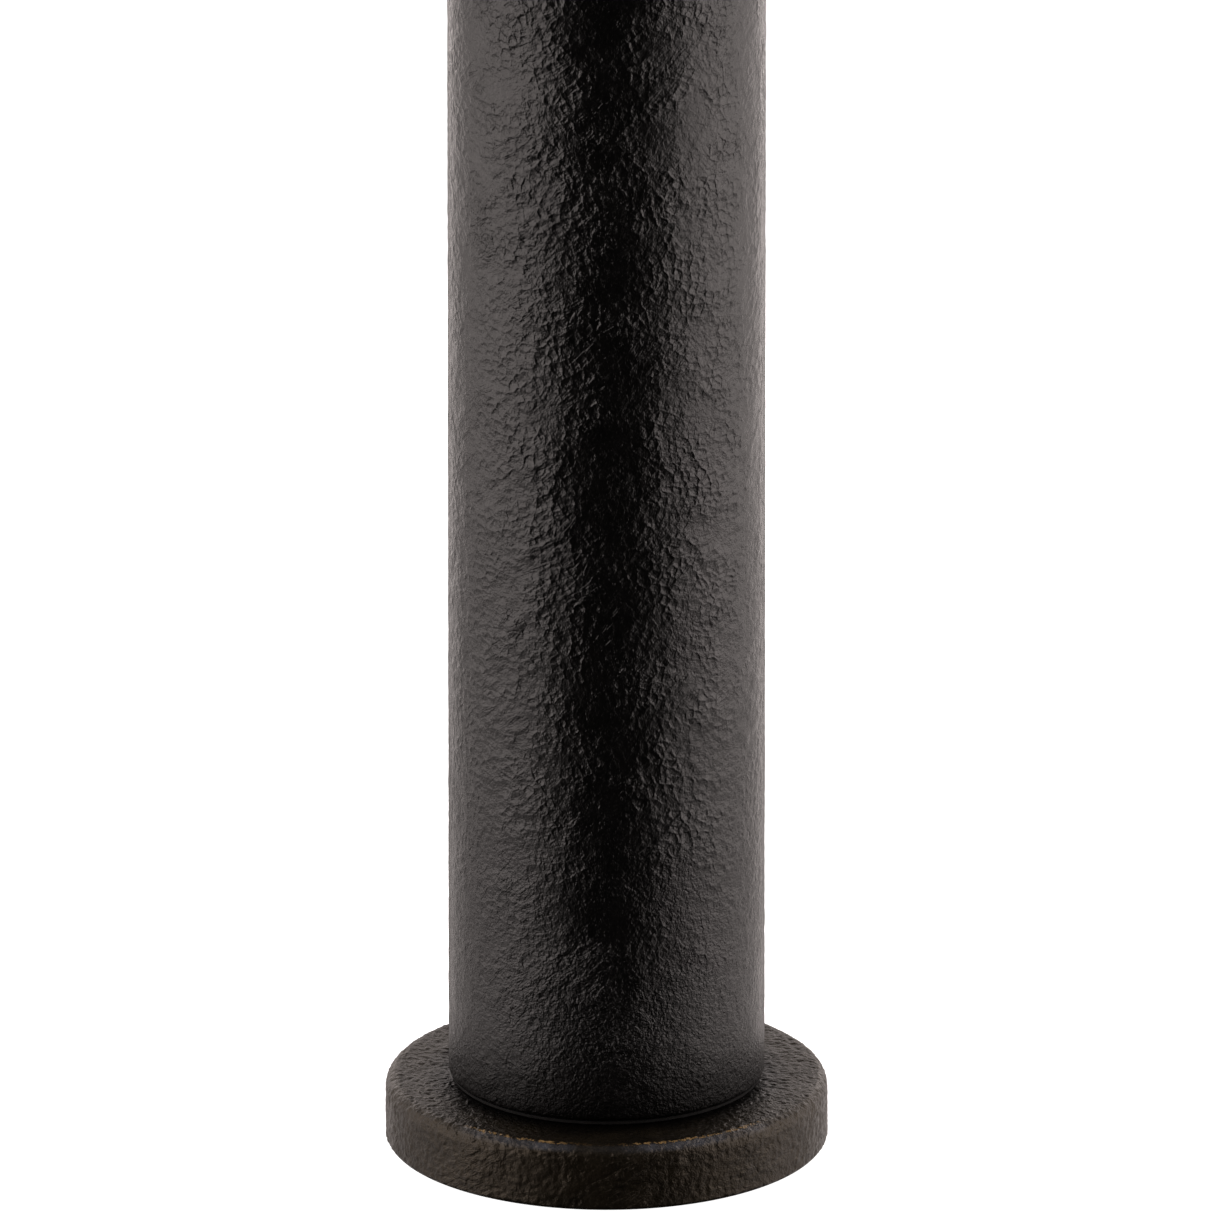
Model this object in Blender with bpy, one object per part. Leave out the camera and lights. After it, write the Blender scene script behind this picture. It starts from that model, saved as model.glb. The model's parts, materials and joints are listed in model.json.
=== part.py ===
"""Bollard post for a boat's deck or a dock: a rough-cast iron column on a round iron base.

One tie rod in the middle clamps the column to the base, so no fastener shows. The base is
bolted down from below, into bushes in its underside, and a lift-off cap closes the top.

Metres, +Z up. The origin is at the centre of the face that the bollard stands on.
"""

import math

import bmesh
import bpy
from mathutils import Matrix

# Clearances between pieces
SEAT_GAP = 0.0003  # between faces that seat on each other
FIT_GAP = 0.00035  # radial, between a spigot, skirt or plate and the bore that locates it
HOLE_GAP = 0.0003  # radial, between a pin, rod or screw and its hole

# Base
BASE_DIAMETER = 0.160
BASE_THICKNESS = 0.024
BASE_RIM_FILLET = 0.005
BASE_FOOT_CHAMFER = 0.001
SPIGOT_HEIGHT = 0.012  # the boss that locates the post
SPIGOT_CHAMFER = 0.001

# Bedding pad let into the underside of the base
PAD_THICKNESS = 0.0027
PAD_PROUD = 0.0005  # how far the pad stands out below the base
PAD_LAND = 0.0037  # iron rim left round the pad
PAD_WINDOW_MARGIN = 0.004  # round the nut pocket
PAD_BOLT_CLEARANCE = 0.001  # radial, round the deck bolts

# Threaded bushes for the deck bolts
BUSH_COUNT = 4
BUSH_BORE = 0.010
BUSH_WALL = 0.002
BUSH_END_WALL = 0.002
BUSH_EDGE_WALL = 0.001  # iron left between a bush and the edge of the pad's recess
BUSH_ROOF = 0.004  # iron left above each bush

# Post
POST_DIAMETER = 0.1143
POST_WALL = 0.0095
POST_LENGTH = 0.458
POST_FOOT_FILLET = 0.0015
POST_MOUTH_CHAMFER = 0.0008
LEDGE_WIDTH = 0.004  # step in the bore that carries the clamp plate
GASKET_THICKNESS = 0.001
GASKET_INSET = 0.001  # how far the gasket's edge stays inside the post

# Dowels that keep the post from turning on the base
DOWEL_COUNT = 2
DOWEL_DIAMETER = 0.005
DOWEL_DEPTH = 0.007  # in the base, and again in the post

# Tie rod and its fasteners
ROD_DIAMETER = 0.016
ROD_END_CHAMFER = 0.001
ROD_FLOOR_CLEARANCE = 0.0015
ROD_END_PROUD = 0.003  # thread that shows past each nut
NUT_WALL = 0.004  # from the thread to the nut's flats
NUT_HEIGHT = 0.013
NUT_CHAMFER_DEG = 30
WASHER_RIM = 0.007  # from the rod to the washer's edge
WASHER_THICKNESS = 0.003
SPRING_WASHER_WIDTH = 0.0054
SPRING_WASHER_THICKNESS = 0.0035
SPRING_WASHER_RISE = 0.0008  # between its two cut ends
SPRING_WASHER_SPLIT_DEG = 14
WRENCH_CLEARANCE = 0.003  # radial, round the lower nut and washer
CLAMP_PLATE_THICKNESS = 0.012
CLAMP_PLATE_CHAMFER = 0.001

# Cap
CAP_EDGE_HEIGHT = 0.0116
CAP_CROWN_HEIGHT = 0.004
CAP_EDGE_FILLET = 0.003
CAP_SKIRT_LENGTH = 0.026
CAP_SKIRT_WALL = 0.007
CAP_SKIRT_CHAMFER = 0.001
CAP_HEADROOM = 0.004  # above the end of the rod
CAP_PLATE_SPACE = 0.003  # between the skirt and the clamp plate
O_RING_SECTION = 0.003
O_RING_HEIGHT = 0.006  # above the skirt's lower edge

# Set screws that lock the cap
SCREW_COUNT = 3
SCREW_DIAMETER = 0.006
SCREW_SOCKET_WALL = 0.00125  # round the corners of the hexagon socket
SCREW_SOLID = 0.0025  # left below the socket
SCREW_POINT = 0.001  # length of the cone at the tip
SCREW_SUNK = 0.0005  # how far the screw's end lies below the post's surface
SCREW_DROP = 0.009  # from the top of the post down to the screw
FIRST_SCREW_DEG = 90

# Fineness of the solids
ROUND_SEGMENTS = 48
SMALL_SEGMENTS = 24
PIN_SEGMENTS = 16
SECTION_SEGMENTS = 8  # round the section of the O-ring
ARC_STEPS = 4
CROWN_STEPS = 4
SMOOTH_DEG = 30
HEXAGON = 6
PIN_TURN = math.pi / PIN_SEGMENTS  # keeps the corners of small round pieces off the edges of large ones
CUT_OVERRUN = 0.002  # how far a cutter reaches past the face it opens
MERGE_DISTANCE = 0.000001

# Radii
BASE_RADIUS = BASE_DIAMETER / 2
POST_RADIUS = POST_DIAMETER / 2
BORE_RADIUS = POST_RADIUS - POST_WALL
MOUTH_RADIUS = BORE_RADIUS + LEDGE_WIDTH  # of the wider bore at the top of the post
SPIGOT_RADIUS = BORE_RADIUS - FIT_GAP
SKIRT_RADIUS = MOUTH_RADIUS - FIT_GAP
SKIRT_BORE_RADIUS = SKIRT_RADIUS - CAP_SKIRT_WALL
O_RING_RADIUS = MOUTH_RADIUS - SEAT_GAP - O_RING_SECTION / 2
GROOVE_RADIUS = O_RING_RADIUS - O_RING_SECTION / 2 - SEAT_GAP
GROOVE_HALF = O_RING_SECTION / 2 + SEAT_GAP
ROD_RADIUS = ROD_DIAMETER / 2
ROD_HOLE_RADIUS = ROD_RADIUS + HOLE_GAP
WASHER_RADIUS = ROD_RADIUS + WASHER_RIM
NUT_FLAT_RADIUS = ROD_RADIUS + NUT_WALL
NUT_CORNER_RADIUS = NUT_FLAT_RADIUS / math.cos(math.pi / HEXAGON)
NUT_POCKET_RADIUS = max(NUT_CORNER_RADIUS, WASHER_RADIUS) + WRENCH_CLEARANCE
RECESS_RADIUS = BASE_RADIUS - PAD_LAND
BUSH_RADIUS = BUSH_BORE / 2 + BUSH_WALL
BUSH_HOLE_RADIUS = BUSH_RADIUS + HOLE_GAP
BUSH_CIRCLE_RADIUS = RECESS_RADIUS - BUSH_EDGE_WALL - BUSH_HOLE_RADIUS
DOWEL_CIRCLE_RADIUS = POST_RADIUS - POST_WALL / 2
DOWEL_HOLE_RADIUS = DOWEL_DIAMETER / 2 + HOLE_GAP
SCREW_HOLE_RADIUS = SCREW_DIAMETER / 2 + HOLE_GAP

# Heights, from the face that the bollard stands on
BASE_FOOT = PAD_PROUD
RECESS_CEILING = PAD_THICKNESS + SEAT_GAP
BASE_TOP = BASE_FOOT + BASE_THICKNESS
BUSH_HOLE_TOP = BASE_TOP - BUSH_ROOF
LOWER_NUT = ROD_FLOOR_CLEARANCE + ROD_END_PROUD
LOWER_WASHER = LOWER_NUT + NUT_HEIGHT + SEAT_GAP
POCKET_CEILING = LOWER_WASHER + WASHER_THICKNESS + SEAT_GAP
GASKET_FOOT = BASE_TOP + SEAT_GAP
POST_FOOT = GASKET_FOOT + GASKET_THICKNESS + SEAT_GAP
POST_TOP = POST_FOOT + POST_LENGTH
SCREW_HEIGHT = POST_TOP - SCREW_DROP
CAP_SEAT = POST_TOP + SEAT_GAP
SKIRT_FOOT = CAP_SEAT - CAP_SKIRT_LENGTH
PLATE_TOP = SKIRT_FOOT - CAP_PLATE_SPACE
PLATE_FOOT = PLATE_TOP - CLAMP_PLATE_THICKNESS
LEDGE = PLATE_FOOT - SEAT_GAP
UPPER_WASHER = PLATE_TOP + SEAT_GAP
SPRING_WASHER = UPPER_WASHER + WASHER_THICKNESS + SEAT_GAP
UPPER_NUT = SPRING_WASHER + SPRING_WASHER_THICKNESS + SPRING_WASHER_RISE + SEAT_GAP
ROD_TOP = UPPER_NUT + NUT_HEIGHT + ROD_END_PROUD
CAP_CEILING = ROD_TOP + CAP_HEADROOM


def clear_scene():
    for obj in list(bpy.data.objects):
        bpy.data.objects.remove(obj)


def make_material(name, colour, roughness, metallic):
    material = bpy.data.materials.new(name)
    material.use_nodes = True
    shader = material.node_tree.nodes["Principled BSDF"]
    shader.inputs["Base Color"].default_value = (*colour, 1)
    shader.inputs["Roughness"].default_value = roughness
    shader.inputs["Metallic"].default_value = metallic
    return material


def make_empty(name, parent=None, height=0.0):
    empty = bpy.data.objects.new(name, None)
    bpy.context.scene.collection.objects.link(empty)
    empty.parent = parent
    empty.location.z = height
    return empty


def add_object(name, shape, material, parent):
    """Turns a finished bmesh into a named object under parent."""
    bmesh.ops.recalc_face_normals(shape, faces=shape.faces)
    mesh = bpy.data.meshes.new(name)
    shape.to_mesh(mesh)
    shape.free()
    mesh.shade_smooth()
    mesh.set_sharp_from_angle(angle=math.radians(SMOOTH_DEG))
    if material:
        mesh.materials.append(material)
    obj = bpy.data.objects.new(name, mesh)
    bpy.context.scene.collection.objects.link(obj)
    obj.parent = parent
    return obj


def arc(centre, radius, start_deg, end_deg, steps=ARC_STEPS):
    """Points (r, z) of a round stretch of an outline, both ends included."""
    turns = [math.radians(start_deg + (end_deg - start_deg) * i / steps) for i in range(steps + 1)]
    return [(centre[0] + radius * math.cos(a), centre[1] + radius * math.sin(a)) for a in turns]


def turned(name, outline, material, parent, segments=ROUND_SEGMENTS):
    """Spins an outline of (r, z) points about Z. One that starts on the axis also ends on it."""
    shape = bmesh.new()
    points = [shape.verts.new((r, 0, z)) for r, z in outline]
    edges = [shape.edges.new(pair) for pair in zip(points, points[1:])]
    if outline[0][0] > MERGE_DISTANCE:
        edges.append(shape.edges.new((points[-1], points[0])))
    bmesh.ops.spin(
        shape,
        geom=points + edges,
        cent=(0, 0, 0),
        axis=(0, 0, 1),
        angle=2 * math.pi,
        steps=segments,
        use_merge=True,
    )
    bmesh.ops.remove_doubles(shape, verts=shape.verts, dist=MERGE_DISTANCE)
    return add_object(name, shape, material, parent)


def ring_outline(inner, outer, thickness):
    return [(inner, 0), (outer, 0), (outer, thickness), (inner, thickness)]


def prism(name, corner_radius, height, material, parent, sides):
    """An upright prism that stands on its own origin."""
    shape = bmesh.new()
    bmesh.ops.create_cone(
        shape, cap_ends=True, segments=sides, radius1=corner_radius, radius2=corner_radius, depth=height
    )
    bmesh.ops.translate(shape, verts=shape.verts, vec=(0, 0, height / 2))
    return add_object(name, shape, material, parent)


def cut(target, cutter, operation="DIFFERENCE"):
    """Applies a helper solid to target through a Boolean modifier."""
    cutter.hide_render = True
    cutter.display_type = "WIRE"
    boolean = target.modifiers.new(cutter.name, "BOOLEAN")
    boolean.operation = operation
    boolean.solver = "EXACT"
    boolean.object = cutter


def cut_upright_holes(target, name, radius, bottom, top, places, segments=PIN_SEGMENTS):
    """Cuts round holes from bottom to top, in target's own heights."""
    for i, (x, y, _) in enumerate(places, 1):
        hole = prism(f"{name}_{i}", radius, top - bottom, None, target, segments)
        hole.location = (x, y, bottom)
        hole.rotation_euler.z = PIN_TURN
        cut(target, hole)


def circle_places(count, radius, first_deg=0.0):
    """(x, y, angle) of places spread evenly round a circle."""
    turns = [math.radians(first_deg) + 2 * math.pi * i / count for i in range(count)]
    return [(radius * math.cos(a), radius * math.sin(a), a) for a in turns]


def bush_places():
    """The bushes sit on the diagonals, between the dowels."""
    return circle_places(BUSH_COUNT, BUSH_CIRCLE_RADIUS, 180 / BUSH_COUNT)


def dowel_places():
    return circle_places(DOWEL_COUNT, DOWEL_CIRCLE_RADIUS)


def screw_places(radius):
    return circle_places(SCREW_COUNT, radius, FIRST_SCREW_DEG)


def radial_turn(angle):
    """Lays an upright piece along a radius, turned about its own axis as the other small round pieces are."""
    own_turn = Matrix.Rotation(PIN_TURN, 3, "Z")
    laid_down = Matrix.Rotation(math.pi / 2, 3, "Y")
    return (Matrix.Rotation(angle, 3, "Z") @ laid_down @ own_turn).to_euler()


def make_base_flange(iron, parent):
    rim = arc((BASE_RADIUS - BASE_RIM_FILLET, BASE_THICKNESS - BASE_RIM_FILLET), BASE_RIM_FILLET, 0, 90)
    pocket = POCKET_CEILING - BASE_FOOT
    recess = RECESS_CEILING - BASE_FOOT
    spigot = BASE_THICKNESS + SPIGOT_HEIGHT
    outline = [
        (ROD_HOLE_RADIUS, pocket),
        (NUT_POCKET_RADIUS, pocket),
        (NUT_POCKET_RADIUS, recess),
        (RECESS_RADIUS, recess),
        (RECESS_RADIUS, 0),
        (BASE_RADIUS - BASE_FOOT_CHAMFER, 0),
        (BASE_RADIUS, BASE_FOOT_CHAMFER),
        *rim,
        (SPIGOT_RADIUS, BASE_THICKNESS),
        (SPIGOT_RADIUS, spigot - SPIGOT_CHAMFER),
        (SPIGOT_RADIUS - SPIGOT_CHAMFER, spigot),
        (ROD_HOLE_RADIUS, spigot),
    ]
    base = turned("base_flange", outline, iron, parent)
    base.location.z = BASE_FOOT
    bush_top = BUSH_HOLE_TOP - BASE_FOOT
    cut_upright_holes(base, "bush_hole", BUSH_HOLE_RADIUS, recess - CUT_OVERRUN, bush_top, bush_places())
    dowel_floor = BASE_THICKNESS - DOWEL_DEPTH - SEAT_GAP
    dowel_mouth = BASE_THICKNESS + CUT_OVERRUN
    cut_upright_holes(base, "base_dowel_hole", DOWEL_HOLE_RADIUS, dowel_floor, dowel_mouth, dowel_places())


def make_base_pad(rubber, parent):
    window = NUT_POCKET_RADIUS + PAD_WINDOW_MARGIN
    pad = turned("base_pad", ring_outline(window, RECESS_RADIUS - FIT_GAP, PAD_THICKNESS), rubber, parent)
    bolt_hole = BUSH_BORE / 2 + PAD_BOLT_CLEARANCE
    cut_upright_holes(
        pad, "pad_bolt_hole", bolt_hole, -CUT_OVERRUN, PAD_THICKNESS + CUT_OVERRUN, bush_places()
    )


def make_deck_bushes(stainless, parent):
    """Blind bushes, open below, with their upper ends closed against water."""
    length = BUSH_HOLE_TOP - SEAT_GAP - RECESS_CEILING
    outline = [
        (0, length - BUSH_END_WALL),
        (BUSH_BORE / 2, length - BUSH_END_WALL),
        (BUSH_BORE / 2, 0),
        (BUSH_RADIUS, 0),
        (BUSH_RADIUS, length),
        (0, length),
    ]
    for i, (x, y, _) in enumerate(bush_places(), 1):
        bush = turned(f"deck_bush_{i}", outline, stainless, parent, PIN_SEGMENTS)
        bush.location = (x, y, RECESS_CEILING)
        bush.rotation_euler.z = PIN_TURN


def make_post_gasket(rubber, parent):
    outline = ring_outline(BORE_RADIUS, POST_RADIUS - GASKET_INSET, GASKET_THICKNESS)
    gasket = turned("post_gasket", outline, rubber, parent)
    gasket.location.z = GASKET_FOOT
    top = GASKET_THICKNESS + CUT_OVERRUN
    cut_upright_holes(gasket, "gasket_dowel_hole", DOWEL_HOLE_RADIUS, -CUT_OVERRUN, top, dowel_places())


def make_dowel_pins(steel, parent):
    foot = BASE_TOP - DOWEL_DEPTH
    length = POST_FOOT + DOWEL_DEPTH - foot
    outline = [(0, 0), (DOWEL_DIAMETER / 2, 0), (DOWEL_DIAMETER / 2, length), (0, length)]
    for i, (x, y, _) in enumerate(dowel_places(), 1):
        pin = turned(f"dowel_pin_{i}", outline, steel, parent, PIN_SEGMENTS)
        pin.location = (x, y, foot)
        pin.rotation_euler.z = PIN_TURN


def make_post_tube(iron, parent):
    foot = arc((POST_RADIUS - POST_FOOT_FILLET, POST_FOOT_FILLET), POST_FOOT_FILLET, -90, 0)
    ledge = LEDGE - POST_FOOT
    outline = [
        (BORE_RADIUS, 0),
        *foot,
        (POST_RADIUS, POST_LENGTH - POST_MOUTH_CHAMFER),
        (POST_RADIUS - POST_MOUTH_CHAMFER, POST_LENGTH),
        (MOUTH_RADIUS + POST_MOUTH_CHAMFER, POST_LENGTH),
        (MOUTH_RADIUS, POST_LENGTH - POST_MOUTH_CHAMFER),
        (MOUTH_RADIUS, ledge),
        (BORE_RADIUS, ledge),
    ]
    post = turned("post_tube", outline, iron, parent)
    post.location.z = POST_FOOT
    dowel_top = DOWEL_DEPTH + SEAT_GAP
    cut_upright_holes(post, "post_dowel_hole", DOWEL_HOLE_RADIUS, -CUT_OVERRUN, dowel_top, dowel_places())
    reach = POST_RADIUS - MOUTH_RADIUS + 2 * CUT_OVERRUN
    for i, (x, y, angle) in enumerate(screw_places(MOUTH_RADIUS - CUT_OVERRUN), 1):
        hole = prism(f"screw_hole_{i}", SCREW_HOLE_RADIUS, reach, None, post, PIN_SEGMENTS)
        hole.location = (x, y, SCREW_HEIGHT - POST_FOOT)
        hole.rotation_euler = radial_turn(angle)
        cut(post, hole)


def make_clamp_plate(steel, parent):
    radius = MOUTH_RADIUS - FIT_GAP
    outline = [
        (ROD_HOLE_RADIUS, 0),
        (radius, 0),
        (radius, CLAMP_PLATE_THICKNESS - CLAMP_PLATE_CHAMFER),
        (radius - CLAMP_PLATE_CHAMFER, CLAMP_PLATE_THICKNESS),
        (ROD_HOLE_RADIUS, CLAMP_PLATE_THICKNESS),
    ]
    plate = turned("clamp_plate", outline, steel, parent)
    plate.location.z = PLATE_FOOT


def make_tie_rod(steel, parent):
    length = ROD_TOP - ROD_FLOOR_CLEARANCE
    tip = ROD_RADIUS - ROD_END_CHAMFER
    outline = [
        (0, 0),
        (tip, 0),
        (ROD_RADIUS, ROD_END_CHAMFER),
        (ROD_RADIUS, length - ROD_END_CHAMFER),
        (tip, length),
        (0, length),
    ]
    rod = turned("tie_rod", outline, steel, parent, SMALL_SEGMENTS)
    rod.location.z = ROD_FLOOR_CLEARANCE


def make_flat_washer(name, foot, steel, parent):
    outline = ring_outline(ROD_HOLE_RADIUS, WASHER_RADIUS, WASHER_THICKNESS)
    washer = turned(name, outline, steel, parent, SMALL_SEGMENTS)
    washer.location.z = foot


def make_spring_washer(steel, parent):
    """A split ring whose two ends stand apart, like one turn of a flat spring."""
    outer = ROD_HOLE_RADIUS + SPRING_WASHER_WIDTH
    shape = bmesh.new()
    section = ring_outline(ROD_HOLE_RADIUS, outer, SPRING_WASHER_THICKNESS)
    corners = [shape.verts.new((r, 0, z)) for r, z in section]
    edges = [shape.edges.new((corners[i - 1], corners[i])) for i in range(len(corners))]
    bmesh.ops.spin(
        shape,
        geom=corners + edges,
        cent=(0, 0, 0),
        axis=(0, 0, 1),
        dvec=(0, 0, SPRING_WASHER_RISE / SMALL_SEGMENTS),
        angle=math.radians(360 - SPRING_WASHER_SPLIT_DEG),
        steps=SMALL_SEGMENTS,
    )
    bmesh.ops.holes_fill(shape, edges=shape.edges)
    washer = add_object("spring_washer", shape, steel, parent)
    washer.location.z = SPRING_WASHER


def make_nut(name, foot, steel, parent):
    """A hexagon nut whose corners are turned off at both faces."""
    nut = prism(name, NUT_CORNER_RADIUS, NUT_HEIGHT, steel, parent, HEXAGON)
    nut.location.z = foot
    blank_radius = NUT_CORNER_RADIUS + CUT_OVERRUN
    shoulder = (blank_radius - NUT_FLAT_RADIUS) * math.tan(math.radians(NUT_CHAMFER_DEG))
    outline = [
        (0, 0),
        (NUT_FLAT_RADIUS, 0),
        (blank_radius, shoulder),
        (blank_radius, NUT_HEIGHT - shoulder),
        (NUT_FLAT_RADIUS, NUT_HEIGHT),
        (0, NUT_HEIGHT),
    ]
    blank = turned(f"{name}_blank", outline, None, nut, SMALL_SEGMENTS)
    cut(nut, blank, "INTERSECT")
    top = NUT_HEIGHT + CUT_OVERRUN
    cut_upright_holes(nut, f"{name}_bore", ROD_HOLE_RADIUS, -CUT_OVERRUN, top, [(0, 0, 0)], SMALL_SEGMENTS)


def make_post_cap(iron, parent):
    """A crowned cap with a hollow skirt, modelled with its seat on the post at zero height."""
    inset = POST_RADIUS - CAP_EDGE_FILLET
    edge_slope = 2 * math.degrees(math.atan(CAP_CROWN_HEIGHT / inset))
    crown_radius = inset / math.sin(math.radians(edge_slope)) + CAP_EDGE_FILLET
    crown_centre = (0, CAP_EDGE_HEIGHT + CAP_CROWN_HEIGHT - crown_radius)
    edge_centre = (inset, CAP_EDGE_HEIGHT - CAP_EDGE_FILLET)
    skirt_foot = SKIRT_FOOT - CAP_SEAT
    ceiling = CAP_CEILING - CAP_SEAT
    groove = skirt_foot + O_RING_HEIGHT
    outline = [
        *arc(crown_centre, crown_radius, 90, 90 - edge_slope, CROWN_STEPS),
        *arc(edge_centre, CAP_EDGE_FILLET, 90 - edge_slope, 0)[1:],
        (POST_RADIUS, POST_MOUTH_CHAMFER),
        (POST_RADIUS - POST_MOUTH_CHAMFER, 0),
        (SKIRT_RADIUS, 0),
        (SKIRT_RADIUS, groove + GROOVE_HALF),
        (GROOVE_RADIUS, groove + GROOVE_HALF),
        (GROOVE_RADIUS, groove - GROOVE_HALF),
        (SKIRT_RADIUS, groove - GROOVE_HALF),
        (SKIRT_RADIUS, skirt_foot + CAP_SKIRT_CHAMFER),
        (SKIRT_RADIUS - CAP_SKIRT_CHAMFER, skirt_foot),
        (SKIRT_BORE_RADIUS, skirt_foot),
        (SKIRT_BORE_RADIUS, ceiling),
        (0, ceiling),
    ]
    turned("post_cap", outline, iron, parent)


def make_cap_o_ring(rubber, parent):
    section = arc((O_RING_RADIUS, 0), O_RING_SECTION / 2, 0, 360, SECTION_SEGMENTS)[:-1]
    ring = turned("cap_o_ring", section, rubber, parent)
    ring.location.z = SKIRT_FOOT + O_RING_HEIGHT - CAP_SEAT


def make_cap_screws(stainless, parent):
    """Socket set screws that lie along a radius, with their points against the skirt."""
    point = SKIRT_RADIUS + SEAT_GAP
    length = POST_RADIUS - SCREW_SUNK - point
    radius = SCREW_DIAMETER / 2
    outline = [(0, 0), (radius - SCREW_POINT, 0), (radius, SCREW_POINT), (radius, length), (0, length)]
    for i, (x, y, angle) in enumerate(screw_places(point), 1):
        screw = turned(f"cap_screw_{i}", outline, stainless, parent, PIN_SEGMENTS)
        screw.location = (x, y, SCREW_HEIGHT)
        screw.rotation_euler = radial_turn(angle)
        depth = length - SCREW_SOLID + CUT_OVERRUN
        socket = prism(f"screw_socket_{i}", radius - SCREW_SOCKET_WALL, depth, None, screw, HEXAGON)
        socket.location.z = SCREW_SOLID
        cut(screw, socket)


def main():
    clear_scene()
    iron = make_material("rough_black_iron", (0.018, 0.016, 0.014), 0.5, 0.3)
    steel = make_material("zinc_plated_steel", (0.55, 0.56, 0.57), 0.35, 1.0)
    stainless = make_material("stainless_steel", (0.62, 0.61, 0.58), 0.25, 1.0)
    rubber = make_material("black_rubber", (0.02, 0.02, 0.02), 0.8, 0.0)

    bollard = make_empty("bollard")
    make_base_pad(rubber, bollard)
    make_base_flange(iron, bollard)
    make_deck_bushes(stainless, bollard)
    make_post_gasket(rubber, bollard)
    make_dowel_pins(steel, bollard)
    make_post_tube(iron, bollard)
    make_clamp_plate(steel, bollard)
    make_tie_rod(steel, bollard)
    make_flat_washer("lower_washer", LOWER_WASHER, steel, bollard)
    make_nut("lower_nut", LOWER_NUT, steel, bollard)
    make_flat_washer("upper_washer", UPPER_WASHER, steel, bollard)
    make_spring_washer(steel, bollard)
    make_nut("upper_nut", UPPER_NUT, steel, bollard)
    make_cap_screws(stainless, bollard)

    cap_lift = make_empty("cap_lift_axis", bollard, CAP_SEAT)
    make_post_cap(iron, cap_lift)
    make_cap_o_ring(rubber, cap_lift)


main()
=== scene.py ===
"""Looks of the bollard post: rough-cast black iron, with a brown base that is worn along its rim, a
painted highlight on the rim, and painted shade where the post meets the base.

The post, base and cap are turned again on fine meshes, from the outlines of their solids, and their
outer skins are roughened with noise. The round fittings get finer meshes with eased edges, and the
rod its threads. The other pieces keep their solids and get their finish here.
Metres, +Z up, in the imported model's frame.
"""

import json
import math

import bmesh
import bpy
from mathutils import Matrix, Vector, noise


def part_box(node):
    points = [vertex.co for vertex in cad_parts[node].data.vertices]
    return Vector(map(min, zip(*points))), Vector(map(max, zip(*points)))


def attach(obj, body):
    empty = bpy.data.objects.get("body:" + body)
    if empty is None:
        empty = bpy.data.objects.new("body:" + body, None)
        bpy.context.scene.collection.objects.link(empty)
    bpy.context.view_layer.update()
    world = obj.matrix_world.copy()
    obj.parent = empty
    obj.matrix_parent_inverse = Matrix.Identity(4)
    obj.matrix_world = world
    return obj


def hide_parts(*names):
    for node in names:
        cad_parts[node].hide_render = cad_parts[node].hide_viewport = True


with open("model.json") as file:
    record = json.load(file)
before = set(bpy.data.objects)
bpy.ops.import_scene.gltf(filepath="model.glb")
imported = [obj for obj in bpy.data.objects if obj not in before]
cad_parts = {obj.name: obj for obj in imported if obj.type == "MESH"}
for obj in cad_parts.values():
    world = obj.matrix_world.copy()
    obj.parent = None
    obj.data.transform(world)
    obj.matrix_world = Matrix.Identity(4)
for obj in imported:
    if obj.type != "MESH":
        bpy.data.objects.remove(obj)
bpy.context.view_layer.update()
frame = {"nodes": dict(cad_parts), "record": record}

MM = 0.001

# The photograph's frame, in its own pixels
PHOTO_PIXELS = 1214
BASE_WIDTH_PIXELS = 444.6
FOOT_CENTRE_PIXEL = (606.6, 1137.3)

# Camera
CAMERA_ELEVATION_DEG = 19.6
CAMERA_LENS_MM = 1100
CAMERA_SENSOR_MM = 36
CAMERA_NEAR = 0.1
CAMERA_FAR = 100

# Softboxes round the post: name, azimuth from the camera and width in degrees, and radiance above and
# below a bend
SOFTBOXES = [
    ("left_softbox", -88, 48, 2.0, 0.62),
    ("right_softbox", 90, 44, 2.35, 0.68),
    ("left_inner_softbox", -55, 18, 2.8, 0.5),
    ("right_inner_softbox", 59, 18, 1.75, 0.55),
    ("left_front_softbox", -38, 16, 0.15, 0.12),
    ("right_front_softbox", 40, 20, 0.13, 0.1),
    ("left_rim_softbox", -126, 28, 0.72, 0.5),
    ("right_rim_softbox", 126, 28, 1.05, 0.75),
    ("left_edge_softbox", -152, 24, 1.2, 0.78),
    ("right_edge_softbox", 152, 24, 1.35, 1.0),
]
SOFTBOX_DISTANCE = 1.0
SOFTBOX_FOOT = -0.9
SOFTBOX_BEND = -0.15
SOFTBOX_TOP = 1.2
BACK_SOFTBOX = ("back_softbox", 180, 56, 0.1, 0.5, 1.25)  # its own foot and top, and one radiance
LIGHT_TINT = (1.0, 0.90, 0.87)
TOP_LIGHT_HEIGHT = 2.2
TOP_LIGHT_SIDE = 1.6
TOP_LIGHT_RADIANCE = 0.25
TOP_LIGHT_TINT = (0.88, 0.94, 1.0)
WORLD_STRENGTH = 0.012

# Floor
FLOOR_HALF = 60.0
FLOOR_GREY = 0.86
FLOOR_GLOW = 1.0
FLOOR_ROUGHNESS = 0.9
FLOOR_SPECULAR = 0.1

# Fineness of the meshes
SKIN_SEGMENTS = 288
SKIN_STEP = 1.5 * MM
BASE_SEGMENTS = 800
BASE_STEP = 0.62 * MM
FITTING_SEGMENTS = 96
HOLE_SEGMENTS = 32
O_RING_SEGMENTS = 192
SECTION_SEGMENTS = 24  # round the section of the O-ring
SHARP_DEG = 50
STRAIGHT_DEG = 25  # corners flatter than this are already part of a curve

# Where the outline of a turned solid is read: a half plane through the axis that crosses no hole
CLEAR_PLANE_DEG = 30
PLANE_TOLERANCE = 0.02 * MM
KEY_DIGITS = 6

# Eased edges of the round fittings
FITTING_EASE = 0.5 * MM
PAD_EASE = 0.4 * MM
EASE_LIMIT = 0.4  # most of a side that an eased corner takes up

# Cast skin of the meshes, in millimetres: mean depth, and wavelength and depth of its pebbles
POST_SKIN = (0.18, 2.6, 0.12)
BASE_SKIN = (0.26, 1.5, 0.34)

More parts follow.
